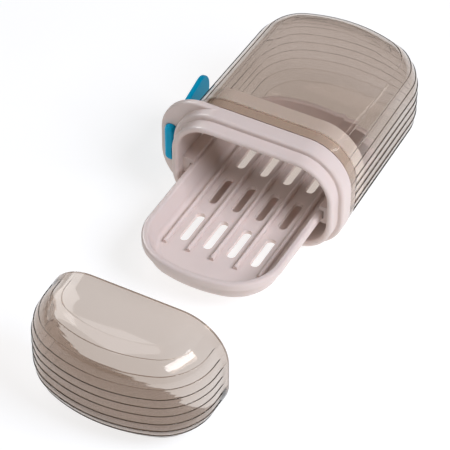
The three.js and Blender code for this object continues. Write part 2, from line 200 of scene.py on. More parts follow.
def smoke_acrylic(name, dye, polish, etched_left_of=None):
    """Clear plastic with so much dye per metre and so rough a polish, matt to the left of a place in mm."""
    material, place = new_material(name)
    flow = add(material, "ShaderNodeTexNoise", {"Vector": place, "Scale": per_mm(FLOW_MM), "Detail": 1})
    haze = add(material, "ShaderNodeTexNoise", {"Vector": place, "Scale": per_mm(HAZE_MM), "Detail": 4})
    gloss = add(material, "ShaderNodeMapRange", {
        "Value": haze.outputs["Fac"], "To Min": polish - POLISH_DRIFT, "To Max": polish + POLISH_DRIFT,
    })
    waver = add(material, "ShaderNodeBump", {
        "Height": flow.outputs["Fac"], "Strength": FLOW_STRENGTH, "Distance": FLOW_HEIGHT_MM * MM,
    })
    rough = gloss.outputs["Result"]
    if etched_left_of is not None:
        across = add(material, "ShaderNodeSeparateXYZ", {0: place})
        etch = add(material, "ShaderNodeMapRange", {
            "Value": across.outputs["X"],
            "From Min": (etched_left_of - ETCH_FADE_MM) * MM,
            "From Max": etched_left_of * MM,
            "To Min": ETCH_ROUGH,
            "To Max": 0,
        })
        rougher = {0: rough, 1: etch.outputs["Result"]}
        rough = add(material, "ShaderNodeMath", rougher, operation="MAXIMUM").outputs[0]
    wall = add(material, "ShaderNodeBsdfPrincipled", {
        "Base Color": linear(SMOKE_SKIN),
        "IOR": ACRYLIC_IOR,
        "Transmission Weight": 1,
        "Roughness": rough,
        "Normal": waver.outputs["Normal"],
    })
    lamp_way = add(material, "ShaderNodeBsdfTransparent", {"Color": linear("#FFFFFF")})
    lamp_ray = add(material, "ShaderNodeLightPath").outputs["Is Shadow Ray"]
    either = add(material, "ShaderNodeMixShader", {0: lamp_ray, 1: wall.outputs[0], 2: lamp_way.outputs[0]})
    inside = add(material, "ShaderNodeVolumeAbsorption", {"Color": linear(SMOKE_TINT), "Density": dye})
    add(material, "ShaderNodeOutputMaterial", {"Surface": either.outputs[0], "Volume": inside.outputs[0]})
    return material


case_smoke = smoke_acrylic("smoke_acrylic_case_polished", CASE_DYE, CASE_POLISH)
print("made", case_smoke.name, "with", len(case_smoke.node_tree.nodes), "nodes")

# %% [markdown]
# ## Polypropylene, satin moulded
# The collar, tray and latch are coloured polypropylene from a spark-eroded mould. The eye gets a soft satin
# with a very fine grain, a slightly waxy depth, and a faint cloudiness where the colour concentrate mixed
# unevenly. One flat colour would look like paint, so a broad noise mixes two close tones, and the grain
# drives both the roughness and a low bump. The true grain is about 0.1 mm, too fine for the picture, so it
# is drawn three times as coarse. The sleeve inside the case gets a paler beige, which is painted light: it
# brightens the sleeve where the tinted case shades it.

# %% Satin polypropylene
PP_IOR = 1.49
CLOUD_MM = 9
GRAIN_MM = 0.3
GRAIN_HEIGHT_MM = 0.05
GRAIN_STRENGTH = 0.12
SATIN_DRIFT = 0.06
WAX_SHARE = 0.12
WAX_DEPTH_MM = 1.2
# Red light goes deepest into the plastic and blue light least.
WAX_BY_COLOUR = (1.0, 0.7, 0.55)


def satin_polypropylene(name, pale, deep, rough, shine):
    """Opaque satin plastic between two close tones, with a spark-eroded grain."""
    material, place = new_material(name)
    cloud = add(material, "ShaderNodeTexNoise", {"Vector": place, "Scale": per_mm(CLOUD_MM), "Detail": 3})
    grain = add(material, "ShaderNodeTexNoise", {"Vector": place, "Scale": per_mm(GRAIN_MM), "Detail": 2})
    tone = add(material, "ShaderNodeMix", {
        0: cloud.outputs["Fac"], MIX_A: linear(deep), MIX_B: linear(pale),
    }, data_type="RGBA")
    satin = add(material, "ShaderNodeMapRange", {
        "Value": grain.outputs["Fac"], "To Min": rough - SATIN_DRIFT, "To Max": rough + SATIN_DRIFT,
    })
    relief = add(material, "ShaderNodeBump", {
        "Height": grain.outputs["Fac"], "Strength": GRAIN_STRENGTH, "Distance": GRAIN_HEIGHT_MM * MM,
    })
    shader = add(material, "ShaderNodeBsdfPrincipled", {
        "Base Color": tone.outputs[MIX_RESULT],
        "IOR": PP_IOR,
        "Roughness": satin.outputs["Result"],
        "Specular IOR Level": shine,
        "Normal": relief.outputs["Normal"],
        "Subsurface Weight": WAX_SHARE,
        "Subsurface Radius": WAX_BY_COLOUR,
        "Subsurface Scale": WAX_DEPTH_MM * MM,
    })
    add(material, "ShaderNodeOutputMaterial", {"Surface": shader.outputs[0]})
    return material


beige = satin_polypropylene(
    "beige_polypropylene_satin_moulded", pale="#E0D0C9", deep="#DACAC2", rough=0.38, shine=0.3)
# A paler beige for the sleeve: painted light, brightening the sleeve that the tinted case shades.
sleeve_beige_painted_light = satin_polypropylene(
    "beige_polypropylene_painted_light", pale="#FFF4E9", deep="#FCEFE3", rough=0.46, shine=0.3)
blue = satin_polypropylene(
    "blue_polypropylene_satin_moulded", pale="#0097BE", deep="#008DB2", rough=0.5, shine=0.12)
print("made", beige.name, sleeve_beige_painted_light.name, blue.name)

# %% [markdown]
# ## Drawn steel wire
# The latch turns on a pin of drawn stainless wire. Drawing leaves fine lines along the wire, and the eye
# gets a grey gloss that is streaked lengthways. Lines so fine are no matter of shape, so a stretched noise
# varies the roughness instead. The true lines are a few hundredths of a millimetre apart, too fine to
# show, and are drawn coarser. The pin keeps its solid, and only its finish is new.

# %% Drawn steel
STEEL_GREY = "#C9CACC"
DRAW_LINE_MM = 0.15
DRAW_RUN_MM = 6
WIRE_SMOOTH, WIRE_DULL = 0.2, 0.4

steel, place = new_material("stainless_steel_drawn_wire")
along = add(steel, "ShaderNodeMapping", {
    "Vector": place,
    "Scale": (per_mm(DRAW_LINE_MM), per_mm(DRAW_LINE_MM), per_mm(DRAW_RUN_MM)),
})
lines = add(steel, "ShaderNodeTexNoise", {"Vector": along.outputs[0], "Scale": 1, "Detail": 2})
sheen = add(steel, "ShaderNodeMapRange", {
    "Value": lines.outputs["Fac"], "To Min": WIRE_SMOOTH, "To Max": WIRE_DULL,
})
wire = add(steel, "ShaderNodeBsdfPrincipled", {
    "Base Color": linear(STEEL_GREY), "Metallic": 1, "Roughness": sheen.outputs["Result"],
})
add(steel, "ShaderNodeOutputMaterial", {"Surface": wire.outputs[0]})
nodes["latch_pin"].data.materials.clear()
nodes["latch_pin"].data.materials.append(steel)
print("the pin wears", steel.name)

# %% [markdown]
# ## The ribbed shells
# The case and the cap are one form, cut at two depths: a rounded box with a D-shaped closed end. Its flank
# is terraced like shingles. Each band leans in towards its foot and ends on a narrow ledge, the upper edge
# of the next band, and the ledges catch the light. The terraces stop short of the mouth. A bump map could
# draw them, but clear plastic shows them from both sides and along its outline, so they are real steps.
# They are kept shallow, because deep steps trap light in the wall and turn black.

# %% Sizes of the shells
SECTION_R = 20.25
SHELL_INSET = 0.4
MOUTH_INSET = 2.05
RIB_PITCH = 4.6
RIB_COUNT = 10
RIB_DROP = 4
PANEL_DROP = 1.3

shell_half = WIDTH / 2 - SHELL_INSET
shell_top = HEIGHT - SHELL_INSET
ledges = [shell_top - RIB_DROP - RIB_PITCH * k for k in reversed(range(RIB_COUNT))]
ledges.append(shell_top - PANEL_DROP)
print("wall", round(MOUTH_INSET - SHELL_INSET, 2), "mm, ledges at", [round(z, 1) for z in ledges])

# %% [markdown]
# ### How deep a terrace is
# At any height two things draw the flank in: the rounded edge of the section, and the lean of the terrace.
# Modelling one band and copying it up the flank would leave seams where the section turns, so both are
# worked out as plain functions of the height. The ledge itself gets a small round, as a mould cutter leaves.

# %% Lean of the terraces
RIB_DEPTH = 0.34
RIB_ROUND = 0.16


def drawn_in(z, bottom, top, radius):
    """How far a rounded edge draws the flank in at height z."""
    edge = max(0, radius - min(z - bottom, top - z))
    return radius - math.sqrt(max(0, radius ** 2 - edge ** 2))


def rib_depth(z):
    """The terrace's depth at height z: nothing at a band's top, most at its foot, round at the ledge."""
    above = min([ledge for ledge in ledges if ledge > z], default=shell_top)
    below = max([ledge for ledge in ledges if ledge <= z], default=None)
    lean = 0 if below is None else RIB_DEPTH * (above - z) / (above - below)
    near = above - z
    if above < shell_top and near < RIB_ROUND:
        lean = max(lean, RIB_ROUND - math.sqrt(RIB_ROUND ** 2 - (RIB_ROUND - near) ** 2))
    return lean


print("a band is", round(rib_depth(ledges[0]), 2), "mm deep at its foot")

# %% [markdown]
# ### Levels of the flank
# A level is one height on the flank, followed all the way from one side of the mouth to the other. Evenly
# spaced levels would cut off the small rounds of the ledges. So the levels follow the rounded section
# evenly, and crowd together just below each ledge.

# %% Levels of the flank
FLANK_STEPS = 18
BAND_STEPS = 5
# How far below its ledge each close level lies, as a share of the ledge's round.
LEDGE_SHARES = (1, 0.75, 0.5, 0.3, 0.15, 0.05, 0.001, 0)


def flank_heights():
    """Heights that follow the rounded flank evenly and every ledge closely."""
    radius = SECTION_R - SHELL_INSET
    heights = []
    for k in range(FLANK_STEPS + 1):
        rise = radius * (1 - math.cos(math.radians(90 * k / FLANK_STEPS)))
        heights += [rise, shell_top - rise]
    heights = [z for z in heights if all(abs(z - ledge) > 2 * RIB_ROUND for ledge in ledges)]
    for ledge in ledges:
        heights += [ledge - RIB_ROUND * share for share in LEDGE_SHARES]
    for ledge in ledges[:-1]:
        heights += [ledge + RIB_PITCH * k / BAND_STEPS for k in range(1, BAND_STEPS)]
    return sorted(set(heights))


levels = flank_heights()
print(len(levels), "levels from", levels[0], "to", round(levels[-1], 2))

# %% [markdown]
# ### The D-shaped end
# Seen from above, the closed end is a broad arc between two tighter corners, which is easy on the hand. A
# curve object could give it, but points from a formula keep the same count on every level, and the levels
# can then be joined face by face.

# %% The D-shaped end
SHELL_CORNER = 24
SHELL_FACE = 68
CORNER_STEPS = 22
FACE_STEPS = 12


def arc(x, y, radius, start, end, steps):
    """Points on a circle's arc between two angles in degrees."""
    angles = [math.radians(start + (end - start) * k / steps) for k in range(steps + 1)]
    return [(x + radius * math.cos(a), y + radius * math.sin(a)) for a in angles]


def closed_end(half, depth, corner, face, inset):
    """Half of a D-shaped end: from the straight side round the corner to the middle of the face."""
    corner_x, face_y = half - corner, depth - face
    corner_y = face_y + math.sqrt((face - corner) ** 2 - corner_x ** 2)
    turn = math.degrees(math.atan2(corner_y - face_y, corner_x))
    side = arc(corner_x, corner_y, corner - inset, 0, turn, CORNER_STEPS)
    return side + arc(0, face_y, face - inset, turn, 90, FACE_STEPS)[1:]


def mirrored(points):
    """The same points on the other side, in the opposite order and without the middle one twice."""
    return [(-p[0], *p[1:]) for p in reversed(points[:-1])]


case_depth = case_high.y - case_low.y
half_end = closed_end(shell_half, case_depth, SHELL_CORNER, SHELL_FACE, 0)
print("the end is", round(half_end[-1][1] - half_end[0][1], 1), "mm deep, in", len(half_end), "points a side")

# %% [markdown]
# ### Outer and inner paths
# On each level the outside follows the terraces and the inside stays smooth, as the core of the mould is.
# A Solidify modifier would repeat the ribs inside, so the two paths are laid out one by one. The mould opens
# towards the mouth, so the form narrows by one degree and its roof falls by half a degree on the way back.

# %% Outer and inner paths
RIB_BAND = 4.2
RIB_RUN_IN = 1.2
RIM_THICK = 1.5
SHELL_TAPER = math.tan(math.radians(1))
SHELL_TOP_FALL = math.tan(math.radians(0.5))


def outer_path(z, depth):
    """One level of the outside, from the mouth on the right to the mouth on the left."""
    inset = drawn_in(z, 0, shell_top, SECTION_R - SHELL_INSET)
    rib = rib_depth(z)
    side = shell_half - inset
    path = [(side, 0), (side, RIB_BAND), (side - rib, RIB_BAND + RIB_RUN_IN)]
    path += closed_end(shell_half, depth, SHELL_CORNER, SHELL_FACE, inset + rib)
    path = [(x, y, z) for x, y in path]
    return path + mirrored(path)


def inner_path(z, depth, end_wall, rim):
    """The same level of the smooth inside, with a thicker rim at the mouth where one is given."""
    share = z / shell_top

    def at(more):
        low, high = MOUTH_INSET + more, HEIGHT - MOUTH_INSET - more
        height = low + share * (high - low)
        return height, drawn_in(height, low, high, SECTION_R - low)

    path = []
    if rim:
        height, inset = at(RIM_THICK)
        path += [(WIDTH / 2 - MOUTH_INSET - RIM_THICK - inset, y, height) for y in (0, rim)]
    height, inset = at(0)
    half = WIDTH / 2 - MOUTH_INSET
    path += [(half - inset, y, height) for y in (rim, rim + RIB_RUN_IN)]
    end = closed_end(half, depth - end_wall, SHELL_CORNER - end_wall, SHELL_FACE - end_wall, inset)
    path += [(x, y, height) for x, y in end]
    return path + mirrored(path)


def drafted(point):
    """The point after the mould's draft: narrower and lower towards the closed end."""
    x, y, z = point
    return x * (1 - SHELL_TAPER * y / shell_half), y, z * (1 - SHELL_TOP_FALL * y / shell_top)


print("the case ends", round(shell_half - drafted((shell_half, case_depth, 0))[0], 2), "mm narrower a side")

# %% [markdown]
# ### From levels to a shell
# Two neighbouring levels are joined by a strip of four-sided faces, which shade cleanly on clear plastic,
# where each crease shows twice. The lowest and the highest level are closed by a panel, and the two skins
# meet at the mouth. Lofting tools do the same, but faces listed by a loop leave nothing to clean up.

# %% From levels to a shell
CASE_END_WALL = 1.8
RIM_BAND = 6.5


def piece_from(name, points, faces):
    """A mesh object from points in millimetres, with its faces turned outwards."""
    mesh = bpy.data.meshes.new(name)
    mesh.from_pydata([Vector(p) * MM for p in points], [], faces)
    shaper = bmesh.new()
    shaper.from_mesh(mesh)
    bmesh.ops.recalc_face_normals(shaper, faces=shaper.faces)
    shaper.to_mesh(mesh)
    shaper.free()
    piece = bpy.data.objects.new(name, mesh)
    bpy.context.collection.objects.link(piece)
    return piece


def panel(row, count):
    """Faces across one level, from its right half to its left."""
    faces = []
    for i in range(count // 2):
        corners = (row + i, row + i + 1, row + count - 2 - i, row + count - 1 - i)
        faces.append(tuple(dict.fromkeys(corners)))
    return faces


def shell(name, depth, end_wall, rim=0):
    """A half shell with its mouth at y = 0: an outer and an inner skin of levels, joined at the mouth."""
    outer = [outer_path(z, depth) for z in levels]
    inner = [inner_path(z, depth, end_wall, rim) for z in levels]
    points, faces, mouths = [], [], []
    for paths in (outer, inner):
        count = len(paths[0])
        rows = [len(points) + r * count for r in range(len(paths))]
        points += [drafted(p) for path in paths for p in path]
        for row in rows[:-1]:
            above = row + count
            faces += [(row + i, row + i + 1, above + i + 1, above + i) for i in range(count - 1)]
        faces += panel(rows[0], count) + panel(rows[-1], count)
        mouths.append(rows + [row + count - 1 for row in reversed(rows)])
    outside, inside = mouths
    for i in range(len(outside)):
        j = (i + 1) % len(outside)
        faces.append((outside[i], outside[j], inside[j], inside[i]))
    return piece_from(name, points, faces)


rear_case = shell("case_shell", case_depth, CASE_END_WALL, RIM_BAND)
rear_case.data.transform(Matrix.Translation(Vector((0, case_low.y, 0)) * MM))
print("case shell has", len(rear_case.data.polygons), "faces")

# %% [markdown]
# ### The case's finish
# The case keeps a thicker rim inside its mouth, which the collar's sleeve snaps behind: seen through two
# thicknesses it makes the darker band beside the collar. A real moulding is smooth up to its edges. Smooth
# shading alone would smear the light round the edges too, so it stops at a crease, and on cut pieces the
# large flat faces lead. Each finished piece also rides on a body and stands for its solid.

# %% The case's finish
CREASE = math.radians(32)


def finish_piece(piece, body, node, material, cut=True):
    """Smooth shading up to a crease, a finish, and the place of the solid that the piece stands for."""
    piece.data.shade_smooth()
    piece.data.set_sharp_from_angle(angle=CREASE)
    if cut:
        flatter = piece.modifiers.new("flat faces lead the shading", "WEIGHTED_NORMAL")
        flatter.keep_sharp = True
    piece.data.materials.clear()
    piece.data.materials.append(material)
    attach(piece, body)
    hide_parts(node)
    print(f"{piece.name}: {len(piece.data.polygons)} faces on {body}")


finish_piece(rear_case, "case", "rear_case", case_smoke, cut=False)

# %% [markdown]
# ### The cap
# The cap is the same shell at less than half the depth, with a thicker end. It could be drawn where it
# lies, but its sizes are easier to read with its mouth at the origin, as for the case. So it is built there,
# and turned half round and carried to its place at the end.

# %% The cap
CAP_DEPTH = 36
CAP_END_WALL = 2.6

cap_mouth = cap_low.y + CAP_DEPTH
cap_aside = cap_high.x - shell_half
front_cap = shell("cap_shell", CAP_DEPTH, CAP_END_WALL)
print("cap shell has", len(front_cap.data.polygons), "faces, its mouth goes to y =", round(cap_mouth, 1))

# %% [markdown]
# ### The cap's catch
# A small barbed tongue beside the mouth is what the latch holds. It is three plain blocks: a root on the
# wall, the tongue, and its barb. A block here is a skin through rings, an outline repeated along a path,
# because later pieces with rounder outlines are made by the same function.

# %% Blocks of the catch
CATCH_T = 1.15
CATCH_W = 6.6
CATCH_ROOT = 1.6
CATCH_BARB = 0.75
CATCH_BARB_L = 0.9
CATCH_FOOT = 17.35
CATCH_SINK = 0.9
CATCH_CLEAR = 0.35
# Faces in one plane trouble a Boolean, so the root starts just inside the mouth.
MOUTH_STEP = 0.02


def skin(name, rings, looped=False):
    """A closed body through rings of equal count: looped back to the first, or with two flat ends."""
    count = len(rings[0])
    points = [p for ring in rings for p in ring]
    faces = []
    for r in range(len(rings) if looped else len(rings) - 1):
        here, there = r * count, (r + 1) % len(rings) * count
        for i in range(count):
            j = (i + 1) % count
            faces.append((here + i, here + j, there + j, there + i))
    if not looped:
        faces.append(tuple(range(count)))
        faces.append(tuple(range(len(points) - count, len(points))))
    return piece_from(name, points, faces)


def block(name, low, high):
    """A box between two corners."""
    ring = [(low[0], low[1]), (high[0], low[1]), (high[0], high[1]), (low[0], high[1])]
    return skin(name, [[(x, y, z) for x, y in ring] for z in (low[2], high[2])])


catch_reach = cap_high.y - cap_mouth
catch_inner = WIDTH / 2 + CATCH_CLEAR
catch_outer = catch_inner + CATCH_T
catch_top = CATCH_FOOT + CATCH_W
barb_rear = CATCH_BARB_L - catch_reach
catch_low = (catch_inner, -catch_reach, CATCH_FOOT)
catch_blocks = [
    block("root", (shell_half - CATCH_SINK, MOUTH_STEP, CATCH_FOOT), (catch_outer, CATCH_ROOT, catch_top)),
    block("tongue", catch_low, (catch_outer, CATCH_ROOT / 2, catch_top)),
    block("barb", catch_low, (catch_outer + CATCH_BARB, barb_rear, catch_top)),
]
print("catch of", len(catch_blocks), "blocks reaches", round(catch_reach, 2), "mm past the mouth")

# %% [markdown]
# ### Joining and cutting
# Slots, windows and lugs are cut and joined as solids, which is how the mould's inserts make them. Moving
# vertices by hand would be quicker to compute, but the exact Boolean leaves no stray faces. Each result is
# kept as a plain mesh. The cap's dye is its smoke tint plus painted shade: the share above the case's dye
# darkens the cap as the shade under it would. It also has a softer polish, and its catch is left matt.

# %% Joining the catch
# The cap's dye is its own smoke tint plus painted shade: the share above the case's dye darkens the cap as
# the shade under it would.
CAP_DYE_AND_SHADE = 280
CAP_POLISH = 0.06
ETCH_START = 0.1


def carve(piece, tool, how):
    """Joins a tool to a piece, cuts it away or keeps what they share, then drops the tool."""
    modifier = piece.modifiers.new("carve", "BOOLEAN")
    modifier.operation = how
    modifier.solver = "EXACT"
    modifier.object = tool
    view = bpy.context.evaluated_depsgraph_get()
    shaped = bpy.data.meshes.new_from_object(piece.evaluated_get(view))
    piece.modifiers.clear()
    piece.data = shaped
    bpy.data.objects.remove(tool)
    return piece


for catch_block in catch_blocks:
    carve(front_cap, catch_block, "UNION")
front_cap.data.transform(Matrix.Rotation(math.pi, 4, "Z"))
front_cap.data.transform(Matrix.Translation(Vector((cap_aside, cap_mouth, 0)) * MM))
cap_left = cap_aside - shell_half
cap_smoke = smoke_acrylic("smoke_acrylic_cap_polished_shaded", CAP_DYE_AND_SHADE, CAP_POLISH, cap_left - ETCH_START)
finish_piece(front_cap, "cap", "front_cap", cap_smoke, cut=False)

# %% [markdown]
# ## The collar
# The collar is one moulding that holds the case, the tray and the latch. A single profile, swept round the
# rounded section, gives the flange, the stepped spigot that the cap slips over, the bore, and the sleeve
# inside the case. Bevelled boxes could be stacked instead, but a swept profile has its edges rounded as a
# mould's are, and those small rounds draw the light lines round it.

# %% Collar ring
SECTION_STEPS = 24
ROUND_STEPS = 8
FLANGE = 7.5
FLANGE_FRONT_FILLET = 1.3
FLANGE_REAR_FILLET = 0.5
STEP = 2.4
STEP_FILLET = 0.3
SPIGOT_WALL = 2.8
SLEEVE_INSET = 2.66
SLEEVE_EDGE = 0.35
WAIST_REAR = 11.05

bore = STEP + SPIGOT_WALL
waist = SLEEVE_INSET + RIM_THICK


def section(inset, y, reach=0):
    """The collar's rounded section at depth y, drawn in by inset and let out on the left by reach."""
    radius = SECTION_R - inset
    right = WIDTH / 2 - SECTION_R
    corners = [(right, HEIGHT - SECTION_R), (-right - reach, HEIGHT - SECTION_R),
               (-right - reach, SECTION_R), (right, SECTION_R)]
    ring = []
    for quarter, (x, z) in enumerate(corners):
        ring += arc(x, z, radius, 90 * quarter, 90 * quarter + 90, SECTION_STEPS)
    return [(x, y, z) for x, z in ring]


def collar_profile():
    """Inset and depth round the collar's wall, from the flange's front edge inwards and back."""
    front, rear = -FLANGE / 2, FLANGE / 2
    lip = SPIGOT_WALL / 2
    end = collar_high.y - SLEEVE_EDGE
    fillet, back = FLANGE_FRONT_FILLET, FLANGE_REAR_FILLET
    profile = arc(fillet, front + fillet, fillet, 180, 270, ROUND_STEPS)
    profile += arc(STEP - STEP_FILLET, front - STEP_FILLET, STEP_FILLET, 90, 0, ROUND_STEPS)
    profile += arc(STEP + lip, collar_low.y + lip, lip, 180, 360, 2 * ROUND_STEPS)
    profile += arc(bore - SLEEVE_EDGE, end, SLEEVE_EDGE, 0, 90, ROUND_STEPS)
    profile += arc(SLEEVE_INSET + SLEEVE_EDGE, end, SLEEVE_EDGE, 90, 180, ROUND_STEPS)
    profile += [(SLEEVE_INSET, WAIST_REAR), (waist, WAIST_REAR), (waist, rear)]
    return profile + arc(back, rear - back, back, 90, 180, ROUND_STEPS)


collar = skin("collar_moulding", [section(inset, y) for inset, y in collar_profile()], looped=True)
print("collar ring has", len(collar.data.polygons), "faces")

# %% [markdown]
# ### Outline of the latch's head
# The head of the latch stands upright in a window of the ear, with nearly round ends. Two outlines, one
# for the head and one for the window, would drift apart as sizes change. So one outline gives both, let out
# by a gap for the window.

# %% Outline of the latch's head
HEAD_W = 5.3
HEAD_END = 2.4

pin_x = (pin_low.x + pin_high.x) / 2
pin_y = (pin_low.y + pin_high.y) / 2


def head_outline(inset, y):
    """The latch head seen from the front: upright, with nearly round ends."""
    half, radius = HEAD_W / 2 - inset, HEAD_END - inset
    upper, lower = latch_high.z - HEAD_END, latch_low.z + HEAD_END
    corners = ((1, upper), (-1, upper), (-1, lower), (1, lower))
    ring = []
    for quarter, (side, z) in enumerate(corners):
        x = pin_x + side * (half - radius)
        ring += arc(x, z, radius, 90 * quarter, 90 * quarter + 90, ROUND_STEPS)
    return [(x, y, z) for x, z in ring]


print("head", HEAD_W, "mm wide and", round(latch_high.z - latch_low.z, 1), "mm tall")

# %% [markdown]
# ### The ear
# The ear is the rear of the flange drawn out to the left. It has the window for the latch and two seats for
# its pin. Pulling out part of the ring would stretch its rounds, so the ear is a second section, let out on
# one side, cut to its left half and joined on.

# %% The ear
EAR_THICK = 3
EAR_FILLET = 1
EAR_BACK_FILLET = 0.4
EAR_SINK = 0.05
EAR_ROOT = 3
OVERRUN = 2
HEAD_GAP = 0.25
PIN_CLEAR = 0.3

ear_reach = -collar_low.x - WIDTH / 2 + EAR_SINK
ear_front = FLANGE / 2 - EAR_THICK
ear_rear = FLANGE / 2 - EAR_SINK
pin_hole_r = (pin_high.x - pin_low.x) / 2 + PIN_CLEAR


def post(name, x, y, radius, low, high, steps=32):
    """An upright round bar."""
    ring = arc(x, y, radius, 0, 360 - 360 / steps, steps - 1)
    return skin(name, [[(px, py, z) for px, py in ring] for z in (low, high)])


edge = arc(EAR_FILLET, ear_front + EAR_FILLET, EAR_FILLET - EAR_SINK, 270, 180, ROUND_STEPS)
edge += arc(EAR_SINK + EAR_BACK_FILLET, ear_rear - EAR_BACK_FILLET, EAR_BACK_FILLET, 180, 90, ROUND_STEPS)
ear = skin("ear", [section(inset, y, ear_reach) for inset, y in edge])
left_half = block("left", (-WIDTH, -WIDTH, -OVERRUN), (pin_x / 2, WIDTH, HEIGHT + OVERRUN))
carve(ear, left_half, "INTERSECT")
through = (ear_front - OVERRUN, ear_rear + OVERRUN)
carve(ear, skin("inside", [section(EAR_ROOT, y) for y in through]), "DIFFERENCE")
carve(ear, skin("window", [head_outline(-HEAD_GAP, y) for y in through]), "DIFFERENCE")
seats = post("seats", pin_x, pin_y, pin_hole_r, pin_low.z - PIN_CLEAR, pin_high.z + PIN_CLEAR)
carve(ear, seats, "DIFFERENCE")
carve(collar, ear, "UNION")
print("ear reaches", round(ear_reach, 2), "mm to the left")

# %% [markdown]
# ### Channels
# Inside the collar, a channel on each side carries the tray's lip. It could be two thin ledges, but one
# bar with a groove cut into it also has the wall behind the lip. The groove takes its height from the tray
# itself, so the two always fit.

# %% Channels
RAIL_THICK = 2.2
RAIL_OVERLAP = 1.6
RAIL_SET_BACK = 5
RAIL_ROOT = 0.6
RAIL_CLEAR = 0.35
LIP_H = 3.6

rail_in = tray_high.x - RAIL_OVERLAP
rail_out = WIDTH / 2 - bore + RAIL_ROOT
rail_front = collar_low.y + RAIL_SET_BACK
rail_rear = collar_high.y - SLEEVE_EDGE
groove_foot = tray_high.z - LIP_H - RAIL_CLEAR
groove_top = tray_high.z + RAIL_CLEAR
for side in (1, -1):
    left, right = sorted((side * rail_in, side * rail_out))
    rail_low = (left, rail_front, groove_foot - RAIL_THICK)
    rail_high = (right, rail_rear, groove_top + RAIL_THICK)
    left, right = sorted((side * (rail_in - OVERRUN), side * (tray_high.x + RAIL_CLEAR)))
    groove_low = (left, rail_front - OVERRUN, groove_foot)
    groove_high = (right, collar_high.y + OVERRUN, groove_top)
    rail = carve(block("rail", rail_low, rail_high), block("groove", groove_low, groove_high), "DIFFERENCE")
    carve(collar, rail, "UNION")
print("channels", round(rail_rear - rail_front, 1), "mm long, open by", round(groove_top - groove_foot, 1))

# %% [markdown]
# ### Nib
# A small pointed nib hangs at the top of the bore. The ring's own faces are too coarse to draw it out of
# them. So it is a three-sided bar, its root sunk into the wall so that the two join in one solid.

# %% Nib
NIB_W = 1.8
NIB_LEAN = 0.3
NIB_H = 3
NIB_ASIDE = 4.2
NIB_ROOT = 0.8

nib_x = -(WIDTH / 2 - SECTION_R + NIB_ASIDE)
nib_root = HEIGHT - SECTION_R + math.sqrt((SECTION_R - bore) ** 2 - NIB_ASIDE ** 2) + NIB_ROOT
nib_tip = (nib_x - NIB_LEAN, nib_root - NIB_ROOT - NIB_H)
nib = [(nib_x - NIB_W / 2, nib_root), nib_tip, (nib_x + NIB_W / 2, nib_root)]
nib_ends = (collar_low.y + SPIGOT_WALL, collar_high.y - SPIGOT_WALL)
carve(collar, skin("nib", [[(x, y, z) for x, z in nib] for y in nib_ends]), "UNION")
print("nib hangs to z =", round(nib_tip[1], 1))

# %% [markdown]
# ### The collar's finish
# The sleeve sits inside the case and gets a paler beige, which is painted light: it brightens the sleeve
# where the tinted case shades it. It could be painted by a mask in the material. A second material on its
# faces is simpler: those that look outwards and lie behind the flange.

# %% The collar's finish
finish_piece(collar, "case", "collar", beige)
# The sleeve's paler beige is painted light, which brightens the sleeve that the tinted case shades.
collar.data.materials.append(sleeve_beige_painted_light)
sleeve_faces = 0
for face in collar.data.polygons:
    outward = face.normal.x * face.center.x + face.normal.z * (face.center.z - HEIGHT / 2 * MM)
    if outward > 0 and face.center.y > FLANGE / 2 * MM:
        face.material_index = 1
        sleeve_faces += 1
print(sleeve_faces, "faces of the sleeve wear", sleeve_beige_painted_light.name)

# %% [markdown]
# ## The tray
# The tray is a shallow dish with a D at both ends, carried by an overhanging lip. It could be cut from a
# block, but its rounds are all on one profile, which runs from the underside over the lip and down to the
# floor. That profile is repeated round the plan, as a potter's template would be.

# %% Tray body
TRAY_CORNER = 22
TRAY_FACE = 62
LIP_OVER = 2.2
LIP_ROUND = 1.1
LIP_EDGE = 0.4
TRAY_RIM = 3
TRAY_FLOOR = 2
TRAY_FILLET = 3.2
TRAY_DRAFT = 0.5

tray_middle = (tray_low.y + tray_high.y) / 2
tray_half_length = (tray_high.y - tray_low.y) / 2
tray_floor = tray_low.z + TRAY_FLOOR
lip_foot = tray_high.z - LIP_H


def tray_ring(inset, z):
    """The tray's plan at one height: the same D at both ends."""
    end = closed_end(tray_high.x, tray_half_length, TRAY_CORNER, TRAY_FACE, inset)
    rear = end + mirrored(end)
    return [(x, y + tray_middle, z) for x, y in rear + [(-x, -y) for x, y in rear]]


def tray_profile():
    """Inset and height over the tray's wall, from the underside to the floor inside."""
    skirt = LIP_OVER + TRAY_DRAFT
    well = TRAY_RIM + LIP_OVER
    lip_top = tray_high.z - LIP_ROUND
    profile = arc(skirt + TRAY_FILLET, tray_low.z + TRAY_FILLET, TRAY_FILLET, 270, 180, ROUND_STEPS)
    profile += arc(LIP_OVER - LIP_EDGE, lip_foot - LIP_EDGE, LIP_EDGE, 0, 90, ROUND_STEPS)
    profile += arc(LIP_EDGE, lip_foot + LIP_EDGE, LIP_EDGE, 270, 180, ROUND_STEPS)
    profile += arc(LIP_ROUND, lip_top, LIP_ROUND, 180, 90, ROUND_STEPS)
    profile += arc(TRAY_RIM - LIP_ROUND, lip_top, LIP_ROUND, 90, 0, ROUND_STEPS)
    return profile + arc(well + TRAY_FILLET, tray_floor + TRAY_FILLET, TRAY_FILLET, 180, 270, ROUND_STEPS)


tray = skin("tray_moulding", [tray_ring(inset, z) for inset, z in tray_profile()])
print("tray", round(2 * tray_half_length, 1), "mm long, floor at", round(tray_floor, 1))

# %% [markdown]
# ### Drain slots
# Water drains through rows of round-ended slots, which pins in the mould leave open. A see-through mask in
# the material could fake them, but it would have no thickness, so each slot is cut through the floor.

# %% Drain slots
DRAIN_ROWS = 4
DRAIN_COLUMNS = 3
DRAIN_L = 18
DRAIN_W = 4
DRAIN_PITCH_X = 11
DRAIN_PITCH_Y = 25


